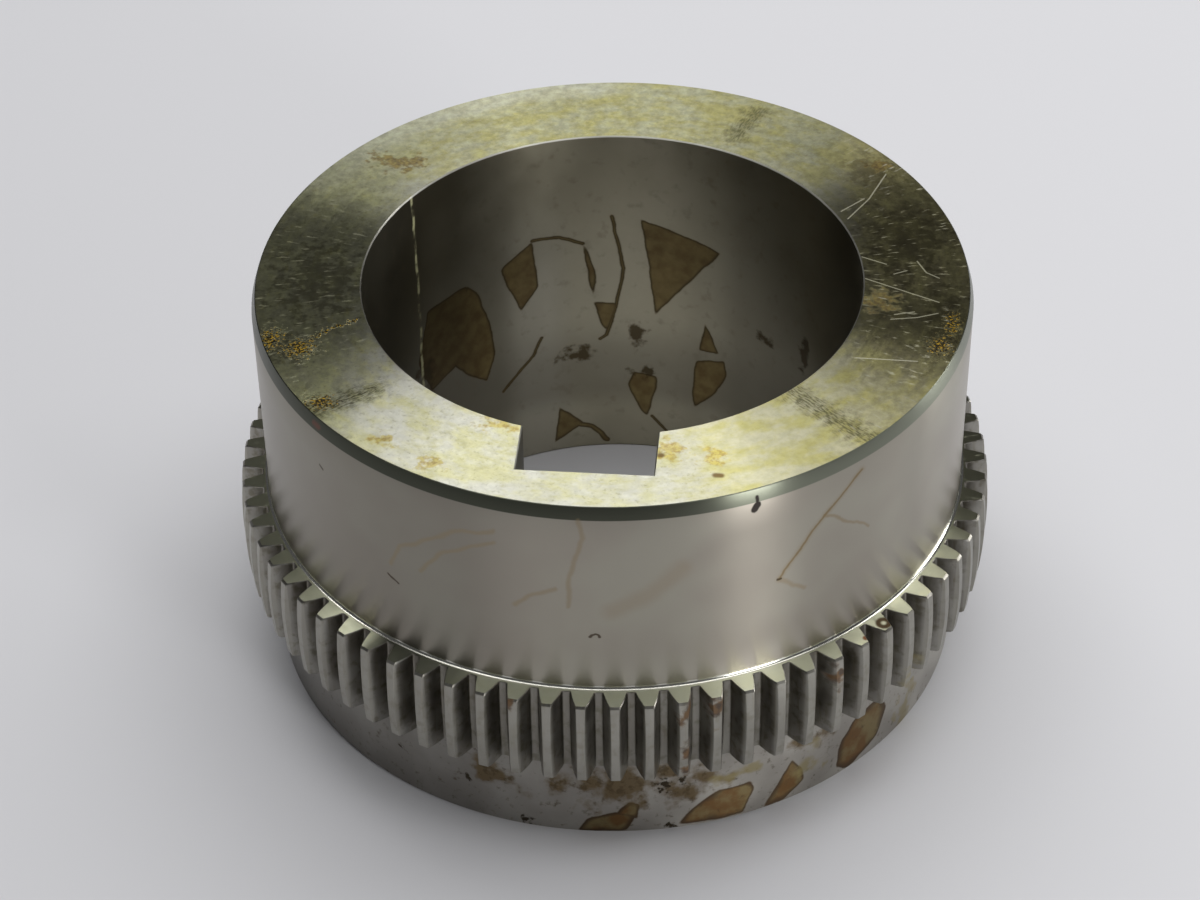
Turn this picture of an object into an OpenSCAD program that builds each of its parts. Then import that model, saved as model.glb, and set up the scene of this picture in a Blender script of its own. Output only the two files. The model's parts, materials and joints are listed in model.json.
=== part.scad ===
// Gear coupling hub: one piece of turned steel with a keyed bore, and a ring
// of crowned external teeth between a short collar and a long barrel.
// It stands on its collar end with the axis upright, the centre of that end
// at the origin and the keyway towards -Y. Sizes are in millimetres.

/* [Bore] */
// Diameter of the bore that takes the shaft
bore_d = 123.83; // [70:0.01:130]

/* [Keyway] */
// Width across the keyway
keyway_width = 31.75; // [12:0.05:45]
// Depth of the keyway, measured down the side of the slot
keyway_depth = 15.88; // [5:0.01:18]

/* [Turned body] */
// Length of the collar below the teeth
collar_length = 24.7; // [8:0.1:80]
// Length of the barrel above the teeth
barrel_length = 55.4; // [12:0.1:160]
// Radial step from the ends of the tooth roots in to the barrel and collar
root_land = 1.4; // [0.6:0.1:4]
// Radius of the fillet where the barrel and the collar meet the teeth
shoulder_fillet = 0.8; // [0.3:0.1:3]
// Length along the axis of the lead-in taper at the end of the barrel
lead_in_length = 3.2; // [1:0.1:10]
// Radial depth of the lead-in taper
lead_in_depth = 1; // [0.3:0.1:4]
// Chamfer on the end of the collar
collar_chamfer = 0.8; // [0.3:0.1:4]

/* [Teeth] */
// Number of teeth
tooth_count = 74; // [70:1:120]
// Module, the pitch diameter divided by the number of teeth
tooth_module = 2.54; // [2.4:0.01:5]
// Pressure angle of the involute flanks
pressure_angle = 20; // [14.5:0.5:25]
// Length of the teeth along the axis
face_width = 24.5; // [10:0.1:40]
// How much deeper the gaps are cut at the ends of the teeth than midway
crown_depth = 0.4; // [0.1:0.05:1]
// Radius of the fillet between a flank and the root
root_fillet = 0.5; // [0.2:0.1:0.8]
// Chamfer on the ends of the tooth tips
tip_chamfer = 0.5; // [0.2:0.1:1.5]

/* [Hidden] */
$fn = 180;

steel = [0.56, 0.54, 0.48];
// Straight pieces that make up each flank and each root fillet
flank_steps = 2;
fillet_steps = 1;
// How far a cut runs past the surface that it opens
overcut = 2;
// How far the outline of a gap reaches past the tooth tips
tip_overcut = 0.3;

bore_r = bore_d / 2;
hub_length = collar_length + face_width + barrel_length;
gear_z = collar_length + face_width / 2;

// Full-depth teeth, with tips on a sphere about the middle of the ring
pitch_r = tooth_count * tooth_module / 2;
base_r = pitch_r * cos(pressure_angle);
tip_r = pitch_r + tooth_module;
root_r = pitch_r - 1.25 * tooth_module;
tip_end_r = sqrt(pow(tip_r, 2) - pow(face_width / 2, 2));

// The crown makes the roots fall away towards the ends of the teeth
crown_lean = atan2(crown_depth, face_width / 2);
barrel_r = root_r - crown_depth - root_land;
fillet_r = min(shoulder_fillet, root_land);

keyway_floor = sqrt(pow(bore_r, 2) - pow(keyway_width / 2, 2)) + keyway_depth;

// Involute function and the half-width of a gap at radius r, as angles
function involute(a) = tan(a) * 180 / PI - a;
function tooth_half(r) = 90 / tooth_count + involute(pressure_angle)
    - involute(acos(min(1, base_r / r)));
function gap_half(r) = 180 / tooth_count - tooth_half(r);
function flank_point(r) = r * [cos(gap_half(r)), sin(gap_half(r))];

// One side of a gap: the root fillet, and then the flank out past the tips
flank_foot = flank_point(root_r);
flank_lean = let (d = flank_point(pitch_r) - flank_foot) atan2(d.y, d.x);
root_fillet_r = min(root_fillet, 0.8 * flank_foot.y);
fillet_y = flank_foot.y + root_fillet_r * (tan(flank_lean) - 1 / cos(flank_lean));
flank_start = root_r + root_fillet_r;
flank_end = tip_r + tip_overcut;
gap_side = concat(
    [for (i = [0:fillet_steps])
        let (a = 180 - i * (90 - flank_lean) / fillet_steps)
        [root_r + root_fillet_r, fillet_y] + root_fillet_r * [cos(a), sin(a)]],
    [for (i = [0:flank_steps])
        flank_point(flank_start + i * (flank_end - flank_start) / flank_steps)]
);
gap_outline = concat(
    gap_side,
    [for (i = [len(gap_side) - 1:-1:0]) [gap_side[i].x, -gap_side[i].y]]
);

// Section of the ring that the teeth are cut in: a spherical rim with
// chamfered corners
module ring_section() {
    chamfer_end = tip_end_r - tip_chamfer;
    bevel = tip_r - chamfer_end;
    intersection() {
        translate([0, gear_z]) circle(r = tip_r);
        polygon([
            [bore_r, collar_length],
            [chamfer_end, collar_length],
            [tip_r, collar_length + bevel],
            [tip_r, collar_length + face_width - bevel],
            [chamfer_end, collar_length + face_width],
            [bore_r, collar_length + face_width]
        ]);
    }
}

// Concave fillet in the corner at the barrel's surface; side is 1 above the
// teeth and -1 below them
module fillet_section(z, side) {
    translate([barrel_r, z]) mirror([0, side < 0 ? 1 : 0])
        difference() {
            translate([-overcut, -overcut]) square(overcut + fillet_r);
            translate([fillet_r, fillet_r]) circle(r = fillet_r);
        }
}

// Half section of the turned blank, from the bore out
module blank_section() {
    polygon([
        [bore_r, 0],
        [barrel_r - collar_chamfer, 0],
        [barrel_r, collar_chamfer],
        [barrel_r, hub_length - lead_in_length],
        [barrel_r - lead_in_depth, hub_length],
        [bore_r, hub_length]
    ]);
    ring_section();
    fillet_section(collar_length, -1);
    fillet_section(collar_length + face_width, 1);
}

// One gap between teeth: two straight cuts that start midway along the face
// and lean in towards its ends, so that the flanks are thickest midway
module gap_cut() {
    cut_length = face_width / 2 + 2 * overcut;
    translate([root_r, 0, gear_z])
        for (end = [0, 1])
            mirror([0, 0, end]) rotate([0, -crown_lean, 0])
                translate([-root_r, 0, -overcut])
                    linear_extrude(cut_length) polygon(gap_outline);
}

module keyway_cut() {
    translate([-keyway_width / 2, -keyway_floor, -overcut])
        cube([keyway_width, keyway_floor, hub_length + 2 * overcut]);
}

// The whole hub, with a tooth centred on the keyway
module hub() {
    color(steel)
        difference() {
            rotate_extrude() blank_section();
            keyway_cut();
            for (i = [0:tooth_count - 1])
                rotate([0, 0, (i + 0.5) * 360 / tooth_count - 90]) gap_cut();
        }
}

hub();
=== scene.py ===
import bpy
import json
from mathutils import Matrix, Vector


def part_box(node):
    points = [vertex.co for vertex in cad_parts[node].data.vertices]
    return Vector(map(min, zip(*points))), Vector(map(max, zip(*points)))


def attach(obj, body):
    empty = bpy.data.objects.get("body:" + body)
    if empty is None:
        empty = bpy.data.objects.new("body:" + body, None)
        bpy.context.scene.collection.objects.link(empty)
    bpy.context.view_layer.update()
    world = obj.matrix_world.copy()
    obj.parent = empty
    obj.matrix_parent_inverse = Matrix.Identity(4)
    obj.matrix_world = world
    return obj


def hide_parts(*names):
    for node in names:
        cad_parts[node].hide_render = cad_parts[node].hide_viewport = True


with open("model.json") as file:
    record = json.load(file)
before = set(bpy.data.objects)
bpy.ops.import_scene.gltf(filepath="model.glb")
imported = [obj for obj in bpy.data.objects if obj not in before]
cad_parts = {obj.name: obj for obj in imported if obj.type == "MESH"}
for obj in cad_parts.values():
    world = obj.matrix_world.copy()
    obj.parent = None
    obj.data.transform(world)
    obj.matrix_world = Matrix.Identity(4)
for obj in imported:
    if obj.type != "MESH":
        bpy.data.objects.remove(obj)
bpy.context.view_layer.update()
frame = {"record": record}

import json
import math

import bpy
from mathutils import Matrix, Vector

# Camera
# It looks down at the hub from the keyway side, a little to the right.
# The long lens and the distance are those of a product photograph.
camera_place = Vector((0.0554, -0.6090, 0.5520))
camera_down = math.radians(39.44)
camera_turn = math.radians(5.54)
camera_roll = math.radians(-0.91)
camera_data = bpy.data.cameras.new("camera")
camera_data.sensor_width = 36
camera_data.lens = 91.95
camera_data.clip_start = 0.01
camera = bpy.data.objects.new("camera", camera_data)
camera.matrix_world = (
    Matrix.Translation(camera_place)
    @ Matrix.Rotation(camera_turn, 4, "Z")
    @ Matrix.Rotation(math.pi / 2 - camera_down, 4, "X")
    @ Matrix.Rotation(camera_roll, 4, "Z")
)
bpy.context.collection.objects.link(camera)
bpy.context.scene.camera = camera

# Steel of the hub
# One bar of medium carbon steel, turned all over and left bare. Every surface
# starts from this steel, and its marks, film, stains and rust lie on top.
MM = 0.001


def add_node(tree, kind, **settings):
    made = tree.nodes.new(kind)
    for name, value in settings.items():
        setattr(made, name, value)
    return made


def feed(tree, socket, value):
    if isinstance(value, bpy.types.NodeSocket):
        tree.links.new(value, socket)
    else:
        socket.default_value = value


def math_node(tree, operation, *values):
    made = add_node(tree, "ShaderNodeMath", operation=operation)
    for socket, value in zip(made.inputs, values):
        feed(tree, socket, value)
    return made.outputs[0]


def times(tree, first, second):
    return math_node(tree, "MULTIPLY", first, second)


def vector_node(tree, operation, *values):
    made = add_node(tree, "ShaderNodeVectorMath", operation=operation)
    for socket, value in zip(made.inputs, values):
        feed(tree, socket, value)
    gives_value = operation in ("DOT_PRODUCT", "DISTANCE", "LENGTH")
    return made.outputs["Value" if gives_value else "Vector"]


def noise(tree, place, scale, detail=3.0, roughness=0.5, output=0):
    made = add_node(tree, "ShaderNodeTexNoise")
    feed(tree, made.inputs["Vector"], place)
    feed(tree, made.inputs["Scale"], scale)
    made.inputs["Detail"].default_value = detail
    made.inputs["Roughness"].default_value = roughness
    return made.outputs[output]


def fade(tree, value, start, end, low=0.0, high=1.0):
    """Goes smoothly from low at start to high at end."""
    made = add_node(tree, "ShaderNodeMapRange", interpolation_type="SMOOTHSTEP")
    for socket, given_value in zip(made.inputs, (value, start, end, low, high)):
        feed(tree, socket, given_value)
    return made.outputs[0]


def mix_colors(tree, share, first, second):
    made = add_node(tree, "ShaderNodeMix", data_type="RGBA")
    for index, value in ((0, share), (6, first), (7, second)):
        feed(tree, made.inputs[index], value if not isinstance(value, tuple) else (*value, 1))
    return made.outputs[2]


def dim(tree, color, share):
    made = add_node(tree, "ShaderNodeVectorMath", operation="SCALE")
    feed(tree, made.inputs[0], color)
    feed(tree, made.inputs["Scale"], share)
    return made.outputs[0]


def new_group(name, inputs, outputs):
    """A shader group with its inputs' sockets and its outputs' sockets."""
    group = bpy.data.node_groups.new(name, "ShaderNodeTree")
    kinds = {1: "NodeSocketFloat", 3: "NodeSocketVector", 4: "NodeSocketColor"}
    for label, value in inputs.items():
        size = 1 if isinstance(value, float) else len(value)
        socket = group.interface.new_socket(label, in_out="INPUT", socket_type=kinds[size])
        socket.default_value = value
    for label, size in outputs.items():
        group.interface.new_socket(label, in_out="OUTPUT", socket_type=kinds[size])
    given = add_node(group, "NodeGroupInput").outputs
    results = add_node(group, "NodeGroupOutput").inputs
    return group, given, results


def use_group(tree, group, **values):
    made = add_node(tree, "ShaderNodeGroup", node_tree=group)
    for name, value in values.items():
        if isinstance(value, tuple) and len(value) == 3 and made.inputs[name].type == "RGBA":
            value = (*value, 1)
        feed(tree, made.inputs[name], value)
    return made.outputs


# Where a point lies on the hub: its angle from the middle of the keyway, or
# from Turn, its height and its radius, in radians and millimetres.
turned_place, given, results = new_group(
    "turned place",
    {"Turn": 0.0, "Radius": 90.0, "Wobble": 0.0},
    {"Place": 3, "Angle": 1, "Height": 1, "Radius": 1, "Point": 3},
)
point = vector_node(
    turned_place, "MULTIPLY",
    add_node(turned_place, "ShaderNodeTexCoord").outputs["Object"], (1 / MM,) * 3,
)
turned = add_node(turned_place, "ShaderNodeVectorRotate", rotation_type="Z_AXIS")
feed(turned_place, turned.inputs["Vector"], point)
feed(turned_place, turned.inputs["Angle"], times(turned_place, given["Turn"], -1.0))
parts = add_node(turned_place, "ShaderNodeSeparateXYZ")
feed(turned_place, parts.inputs[0], turned.outputs[0])
angle = math_node(
    turned_place, "ARCTAN2", parts.outputs["X"],
    times(turned_place, parts.outputs["Y"], -1.0),
)
flat_place = add_node(turned_place, "ShaderNodeCombineXYZ")
feed(turned_place, flat_place.inputs["X"], times(turned_place, angle, given["Radius"]))
feed(turned_place, flat_place.inputs["Y"], parts.outputs["Z"])
flat_place.inputs["Z"].default_value = 1.0
shake = vector_node(
    turned_place, "SUBTRACT", noise(turned_place, point, 0.15, 5.0, output=1), (0.5, 0.5, 0.5)
)
wobble = add_node(turned_place, "ShaderNodeCombineXYZ")
for axis in ("X", "Y"):
    feed(turned_place, wobble.inputs[axis], given["Wobble"])
shaken = vector_node(
    turned_place, "ADD", flat_place.outputs[0],
    vector_node(turned_place, "MULTIPLY", shake, wobble.outputs[0]),
)
across = math_node(
    turned_place, "SQRT",
    math_node(
        turned_place, "ADD",
        times(turned_place, parts.outputs["X"], parts.outputs["X"]),
        times(turned_place, parts.outputs["Y"], parts.outputs["Y"]),
    ),
)
for label, socket in (
    ("Place", shaken), ("Angle", angle), ("Height", parts.outputs["Z"]),
    ("Radius", across), ("Point", point),
):
    feed(turned_place, results[label], socket)

# Marks of the turning tool: fine lines round the axis.
turning_marks, given, results = new_group(
    "turning marks", {"Across": 0.0, "Angle": 0.0, "Lines": 1.2}, {"Fine": 1}
)
track = add_node(turning_marks, "ShaderNodeCombineXYZ")
feed(turning_marks, track.inputs["X"], times(turning_marks, given["Across"], given["Lines"]))
feed(turning_marks, track.inputs["Y"], math_node(turning_marks, "COSINE", given["Angle"]))
feed(turning_marks, track.inputs["Z"], math_node(turning_marks, "SINE", given["Angle"]))
feed(turning_marks, results["Fine"], noise(turning_marks, track.outputs[0], 1.0, 2.0))

# A soft-edged spot that is broken up into grains, such as rust or dirt.
blotch, given, results = new_group(
    "blotch",
    {"Place": (0.0, 0.0, 0.0), "Centre": (0.0, 0.0, 1.0), "Reach": (5.0, 5.0, 1.0), "Grain": 0.6},
    {"Mask": 1},
)
offset = vector_node(
    blotch, "DIVIDE",
    vector_node(blotch, "SUBTRACT", given["Place"], given["Centre"]), given["Reach"],
)
nearness = math_node(blotch, "SUBTRACT", 1.0, vector_node(blotch, "LENGTH", offset))
grains = math_node(blotch, "SUBTRACT", noise(blotch, given["Place"], given["Grain"], 4.0), 0.5)
feed(blotch, results["Mask"], fade(
    blotch, math_node(blotch, "ADD", nearness, times(blotch, grains, 3.2)), 0.1, 0.75,
))

# How far a point is from a line drawn between two places, such as a scratch.
stroke, given, results = new_group(
    "stroke",
    {"Place": (0.0, 0.0, 1.0), "Start": (0.0, 0.0, 1.0), "Way": (1.0, 0.0, 0.0)},
    {"Distance": 1},
)
from_start = vector_node(stroke, "SUBTRACT", given["Place"], given["Start"])
share = math_node(
    stroke, "DIVIDE",
    vector_node(stroke, "DOT_PRODUCT", from_start, given["Way"]),
    vector_node(stroke, "DOT_PRODUCT", given["Way"], given["Way"]),
)
share = math_node(stroke, "MINIMUM", math_node(stroke, "MAXIMUM", share, 0.0), 1.0)
along = dim(stroke, given["Way"], share)
feed(stroke, results["Distance"], vector_node(stroke, "DISTANCE", from_start, along))

# A dried stain: a thin brown film with a darker rim where it stopped flowing.
dried_stain, given, results = new_group(
    "dried stain",
    {"Steel": (0.3, 0.3, 0.3, 1.0), "Distance": 0.0, "Fill": (0.2, 0.1, 0.05, 1.0),
     "Rim": (0.1, 0.05, 0.02, 1.0), "Rim width": 0.9, "Strength": 1.0},
    {"Color": 4, "Mask": 1},
)
inside = fade(dried_stain, given["Distance"], 0.25, -0.25)
rim_start = times(dried_stain, given["Rim width"], -1.0)
rim = times(dried_stain, inside, fade(dried_stain, given["Distance"], rim_start, -0.1))
film = mix_colors(dried_stain, rim, given["Fill"], given["Rim"])
cover = times(dried_stain, inside, given["Strength"])
feed(dried_stain, results["Color"], mix_colors(dried_stain, cover, given["Steel"], film))
feed(dried_stain, results["Mask"], cover)


def turned_point(place, radius):
    """A (degrees, height) place on a cylinder, laid out flat in millimetres."""
    return Vector((math.radians(place[0]) * radius, place[1], 1))


def nearest_of(tree, distances):
    nearest = distances[0]
    for distance in distances[1:]:
        nearest = math_node(tree, "MINIMUM", nearest, distance)
    return nearest


def patch(tree, place, corners):
    """Distance out from a convex outline, which is negative inside it."""
    corner_round = 1.2
    pairs = list(zip(corners, corners[1:] + corners[:1]))
    area = sum(a.x * b.y - b.x * a.y for a, b in pairs)
    edge = None
    for a, b in pairs:
        way = (b - a) * (1 if area > 0 else -1)
        out = Vector((way.y, -way.x)).normalized()
        side = (out.x, out.y, -(out.x * a.x + out.y * a.y))
        distance = vector_node(tree, "DOT_PRODUCT", place, side)
        if edge is None:
            edge = distance
        else:
            edge = math_node(tree, "SMOOTH_MAX", edge, distance, corner_round)
    return edge


def line(tree, place, points, half_width):
    """Distance out from a line of strokes through points."""
    distances = []
    for a, b in zip(points, points[1:]):
        made = use_group(tree, stroke, Place=place, Start=tuple(a), Way=tuple(b - a))
        distances.append(made["Distance"])
    return math_node(tree, "SUBTRACT", nearest_of(tree, distances), half_width)


def spots(tree, place, centres_and_reaches, grain):
    """The strongest of several blotches."""
    strongest = None
    for centre, reach in centres_and_reaches:
        mask = use_group(
            tree, blotch, Place=place, Centre=(*centre, 1.0), Reach=(*reach, 1.0), Grain=grain
        )["Mask"]
        strongest = mask if strongest is None else math_node(tree, "MAXIMUM", strongest, mask)
    return strongest


def painted_light_by_angle(tree, color, angle, stops):
    """Painted light and shade: the colour times a share that changes with angle, from (degrees, share)
    stops.
    """
    ramp = add_node(tree, "ShaderNodeValToRGB")
    feed(tree, ramp.inputs[0], math_node(tree, "MULTIPLY_ADD", angle, 0.5 / math.pi, 0.5))
    ramp.color_ramp.interpolation = "EASE"
    elements = ramp.color_ramp.elements
    elements.remove(elements[1])
    for number, (degrees, share) in enumerate(stops):
        stop = elements.new(1.0) if number else elements[0]
        stop.position = 0.5 + degrees / 360
        stop.color = (share, share, share, 1)
    return dim(tree, color, ramp.outputs[0])


def new_steel(name, anisotropic):
    material = bpy.data.materials.new(name)
    material.use_nodes = True
    tree = material.node_tree
    tree.nodes.clear()
    output = add_node(tree, "ShaderNodeOutputMaterial")
    steel = add_node(tree, "ShaderNodeBsdfPrincipled")
    tree.links.new(steel.outputs["BSDF"], output.inputs["Surface"])
    steel.inputs["Metallic"].default_value = 1.0
    if anisotropic:
        steel.inputs["Anisotropic"].default_value = anisotropic
        steel.inputs["Anisotropic Rotation"].default_value = 0.25
        tangent = add_node(tree, "ShaderNodeTangent", direction_type="RADIAL", axis="Z")
        tree.links.new(tangent.outputs[0], steel.inputs["Tangent"])
    return material, tree, steel.inputs


def roughen(tree, steel, height, strength):
    bump = add_node(tree, "ShaderNodeBump")
    bump.inputs["Strength"].default_value = strength
    bump.inputs["Distance"].default_value = 0.02 * MM
    feed(tree, bump.inputs["Height"], height)
    feed(tree, steel["Normal"], bump.outputs[0])


# Barrel
# The long plain cylinder that slides in the coupling's cover, turned smooth,
# with a lead-in taper at its end. It is handled most, so it is stained lightly.
barrel_size = 89.0
barrel_steel, tree, steel = new_steel("barrel_steel", 0.88)
place = use_group(tree, turned_place, Radius=barrel_size, Wobble=2.2)
smudge = noise(tree, place["Point"], 0.035, 2.0)
color = mix_colors(tree, fade(tree, smudge, 0.35, 0.68), (0.362, 0.331, 0.280), (0.408, 0.386, 0.323))
# Painted light: the barrel is painted lighter on the right and darker on the left, as the lamps fall
# from the right.
barrel_painted_light = (
    (-180, 0.88), (-75, 0.82), (-60, 0.76), (-20, 0.74), (-6, 0.98), (10, 0.96), (40, 0.94),
    (52, 0.96), (60, 0.78), (70, 0.71), (80, 0.92), (180, 0.88),
)
color = painted_light_by_angle(tree, color, place["Angle"], barrel_painted_light)
taper_start = 101.4
taper = fade(tree, place["Height"], taper_start - 0.15, taper_start + 0.1)
# Painted reflection on the lead-in taper: dark at the front and left, lighter on the right.
taper_lit_share = times(
    tree, fade(tree, place["Angle"], 0.1, 0.75), fade(tree, place["Angle"], 3.0, 1.9)
)
taper_painted_reflection = mix_colors(tree, taper_lit_share, (0.080, 0.084, 0.064), (0.200, 0.212, 0.165))
color = mix_colors(tree, taper, color, taper_painted_reflection)
fillet_top = 50.0
# Painted highlight: the fillet under the teeth is painted pale, as a bright line.
fillet = fade(tree, place["Height"], fillet_top + 0.2, fillet_top - 0.1)
color = mix_colors(tree, fillet, color, (0.640, 0.635, 0.570))
faint_runs = (
    ((-25.8, 76), (-21.5, 84.3), (-13, 91.8)),
    ((-31.2, 74.3), (-29, 81), (-19.4, 91.8), (-13, 95)),
    ((-10, 73.5), (-8, 76.8), (-3.9, 80.2)),
    ((-0.1, 101), (0.4, 96), (-1.7, 84), (-1.9, 75)),
    ((35, 70), (33, 72), (30.5, 75.5)),
)
wide_run = ((4.7, 74), (10.6, 79), (15, 86))
brown_run = ((30.5, 75.5), (34.2, 83.5), (38.3, 90), (45, 98.3))
brown_branch = ((38.3, 90), (42.6, 85), (47.3, 79.3))
drop = ((26.0, 99.2), (26.5, 100.4))
drop_tail = ((26.5, 100.4), (26.5, 102.7))
red_mark = ((-47, 102.9), (-45.6, 102.6))
small_marks = (
    ((-31.8, 70.3), (-30.2, 68.8)), ((-46, 91), (-45.4, 90.6)), ((30.2, 75.6), (30.8, 75.4)),
    ((1.2, 65.6), (1.45, 66.3), (1.9, 66.6), (2.35, 66.3), (2.5, 65.7)),
)


def on_barrel(points):
    return [turned_point(p, barrel_size) for p in points]


faint = nearest_of(tree, [line(tree, place["Place"], on_barrel(run), 0.1) for run in faint_runs])
color = mix_colors(tree, fade(tree, faint, 0.9, 0.0, 0.0, 0.5), color, (0.300, 0.232, 0.135))
wide = line(tree, place["Place"], on_barrel(wide_run), 1.5)
color = mix_colors(tree, fade(tree, wide, 2.5, -1.0, 0.0, 0.40), color, (0.330, 0.268, 0.185))
brown = line(tree, place["Place"], on_barrel(brown_run), 0.05)
color = mix_colors(tree, fade(tree, brown, 1.6, 0.2, 0.0, 0.30), color, (0.290, 0.235, 0.140))
color = mix_colors(tree, fade(tree, brown, 0.60, 0.0, 0.0, 0.80), color, (0.225, 0.155, 0.068))
branch = line(tree, place["Place"], on_barrel(brown_branch), 0.05)
color = mix_colors(tree, fade(tree, branch, 0.60, 0.0, 0.0, 0.55), color, (0.270, 0.200, 0.105))
dark_drop = nearest_of(tree, [
    line(tree, place["Place"], on_barrel(drop), 1.0),
    line(tree, place["Place"], on_barrel(drop_tail), 0.35),
])
drop_mask = fade(tree, dark_drop, 0.35, -0.2)
tiny = nearest_of(tree, [line(tree, place["Place"], on_barrel(mark), 0.15) for mark in small_marks])
color = mix_colors(tree, fade(tree, tiny, 0.35, 0.0, 0.0, 0.85), color, (0.060, 0.038, 0.022))
red = fade(tree, line(tree, place["Place"], on_barrel(red_mark), 0.1), 0.9, 0.0, 0.0, 0.65)
color = mix_colors(tree, red, color, (0.190, 0.080, 0.060))
color = mix_colors(tree, drop_mask, color, (0.022, 0.013, 0.008))
feed(tree, steel["Base Color"], color)
feed(tree, steel["Metallic"], math_node(tree, "SUBTRACT", 1.0, drop_mask))
roughness = math_node(
    tree, "SUBTRACT", fade(tree, smudge, 0.3, 0.7, 0.28, 0.31), times(tree, fillet, 0.10)
)
feed(tree, steel["Roughness"], math_node(tree, "ADD", roughness, times(tree, drop_mask, 0.5)))

# End faces
# Faced in the lathe, which leaves fine rings. Old preserving oil has dried on
# them in yellow and green patches, with rust where it was rubbed through.
end_steel, tree, steel = new_steel("end_steel", 1.0)
place = use_group(tree, turned_place)
marks = use_group(tree, turning_marks, Across=place["Radius"], Angle=place["Angle"])
spot = vector_node(tree, "MULTIPLY", place["Point"], (1, -1, 0))
spot = vector_node(tree, "ADD", spot, (0, 0, 1))
swirl = add_node(tree, "ShaderNodeCombineXYZ")
feed(tree, swirl.inputs["X"], times(tree, place["Radius"], 0.11))
feed(tree, swirl.inputs["Y"], times(tree, math_node(tree, "COSINE", place["Angle"]), 4.5))
feed(tree, swirl.inputs["Z"], times(tree, math_node(tree, "SINE", place["Angle"]), 4.5))
clouds = noise(tree, swirl.outputs[0], 2.0, 8.0, 0.6)
fine_clouds = noise(tree, swirl.outputs[0], 4.5, 8.0, 0.6)
grains = noise(tree, place["Point"], 0.9, 8.0, 0.6)
mottle = noise(tree, place["Point"], 0.4, 10.0, 0.7)
parts = add_node(tree, "ShaderNodeSeparateXYZ")
feed(tree, parts.inputs[0], spot)
upper = fade(tree, place["Height"], 60, 100)
far = fade(tree, parts.outputs["Y"], -10, -70)
aside = fade(tree, math_node(tree, "ABSOLUTE", parts.outputs["X"]), 45, 70)
color = mix_colors(tree, fade(tree, clouds, 0.38, 0.66), (0.578, 0.574, 0.496), (0.554, 0.540, 0.325))
# The far side keeps the yellow film, painted darker as painted shade.
far_film_and_shade = mix_colors(tree, fade(tree, clouds, 0.35, 0.65), (0.300, 0.302, 0.192), (0.290, 0.272, 0.110))
color = mix_colors(tree, fade(tree, far, 0, 1, 0.0, 0.9), color, far_film_and_shade)
# Towards the left and right the film is painted darker, as painted shade.
right = fade(tree, parts.outputs["X"], -40, 40)
side_dark = mix_colors(tree, right, (0.355, 0.354, 0.215), (0.340, 0.305, 0.150))
side_light = mix_colors(tree, right, (0.425, 0.430, 0.245), (0.560, 0.520, 0.250))
side_film_and_shade = mix_colors(tree, fade(tree, clouds, 0.38, 0.66), side_dark, side_light)
color = mix_colors(tree, fade(tree, aside, 0, 1, 0.0, 0.9), color, side_film_and_shade)
color = mix_colors(tree, fade(tree, fine_clouds, 0.52, 0.80, 0.0, 0.5), color, (0.412, 0.384, 0.125))
color = mix_colors(tree, fade(tree, grains, 0.52, 0.78, 0.0, 0.5), color, (0.200, 0.185, 0.080))
color = mix_colors(tree, fade(tree, grains, 0.45, 0.22, 0.0, 0.3), color, (0.540, 0.535, 0.460))
olive = math_node(tree, "ABSOLUTE", math_node(tree, "SUBTRACT", place["Angle"], math.radians(42)))
olive = times(tree, fade(tree, olive, 0.55, 0.25, 0.0, 0.75), upper)
color = mix_colors(tree, olive, color, mix_colors(
    tree, fade(tree, clouds, 0.38, 0.66), (0.500, 0.478, 0.300), (0.460, 0.425, 0.150),
))
pale = times(tree, fade(tree, place["Radius"], 79, 84), fade(tree, parts.outputs["X"], 5, -15))
pale = times(tree, pale, times(tree, far, upper))
color = mix_colors(tree, times(tree, pale, 0.6), color, (0.420, 0.425, 0.350))
# Painted highlights and shade on the face, which change with the angle round it.
face_painted_light = (
    (-180, 1.0), (-140, 0.95), (-126, 0.84), (-110, 1.0), (-97, 1.2), (-87, 1.5), (-75, 1.4),
    (-67, 1.35), (-58, 1.8), (-47, 1.3), (-36, 1.05), (-26, 1.12), (-10, 1.0), (20, 1.0),
    (45, 0.9), (60, 0.9), (72, 0.81), (82, 0.95), (92, 1.25), (100, 1.12), (108, 0.96),
    (125, 0.64), (155, 0.84), (175, 1.0), (180, 1.0),
)
color = mix_colors(tree, upper, color, painted_light_by_angle(tree, color, place["Angle"], face_painted_light))
busy = math_node(tree, "MAXIMUM", far, aside)
color = dim(tree, color, fade(
    tree, mottle, 0.25, 0.75, fade(tree, busy, 0, 1, 1.08, 1.25), fade(tree, busy, 0, 1, 0.86, 0.72),
))


def on_face(points):
    """Places on the end face, from degrees and radius."""
    return [
        Vector((r * math.sin(math.radians(a)), r * math.cos(math.radians(a)), 1)) for a, r in points
    ]


comb = add_node(tree, "ShaderNodeCombineXYZ")
feed(tree, comb.inputs["X"], times(tree, place["Radius"], 0.25))
feed(tree, comb.inputs["Y"], times(tree, place["Angle"], 75.0))
strokes = noise(tree, comb.outputs[0], 1.0, 2.0)
dark_lines = (((47, 63), (47.5, 88)), ((157, 69), (157, 82)), ((-47, 72), (-48.5, 88)))
dark = nearest_of(tree, [line(tree, spot, on_face(run), 1.2) for run in dark_lines])
dark = math_node(tree, "ADD", dark, fade(tree, mottle, 0.3, 0.7, 1.5, -1.5))
hatching = fade(tree, noise(tree, comb.outputs[0], 2.2, 4.0), 0.40, 0.62, 0.30, 0.92)
dark = times(tree, fade(tree, dark, 4.0, -1.0), times(tree, hatching, upper))
color = mix_colors(tree, dark, color, (0.098, 0.092, 0.042))
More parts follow.
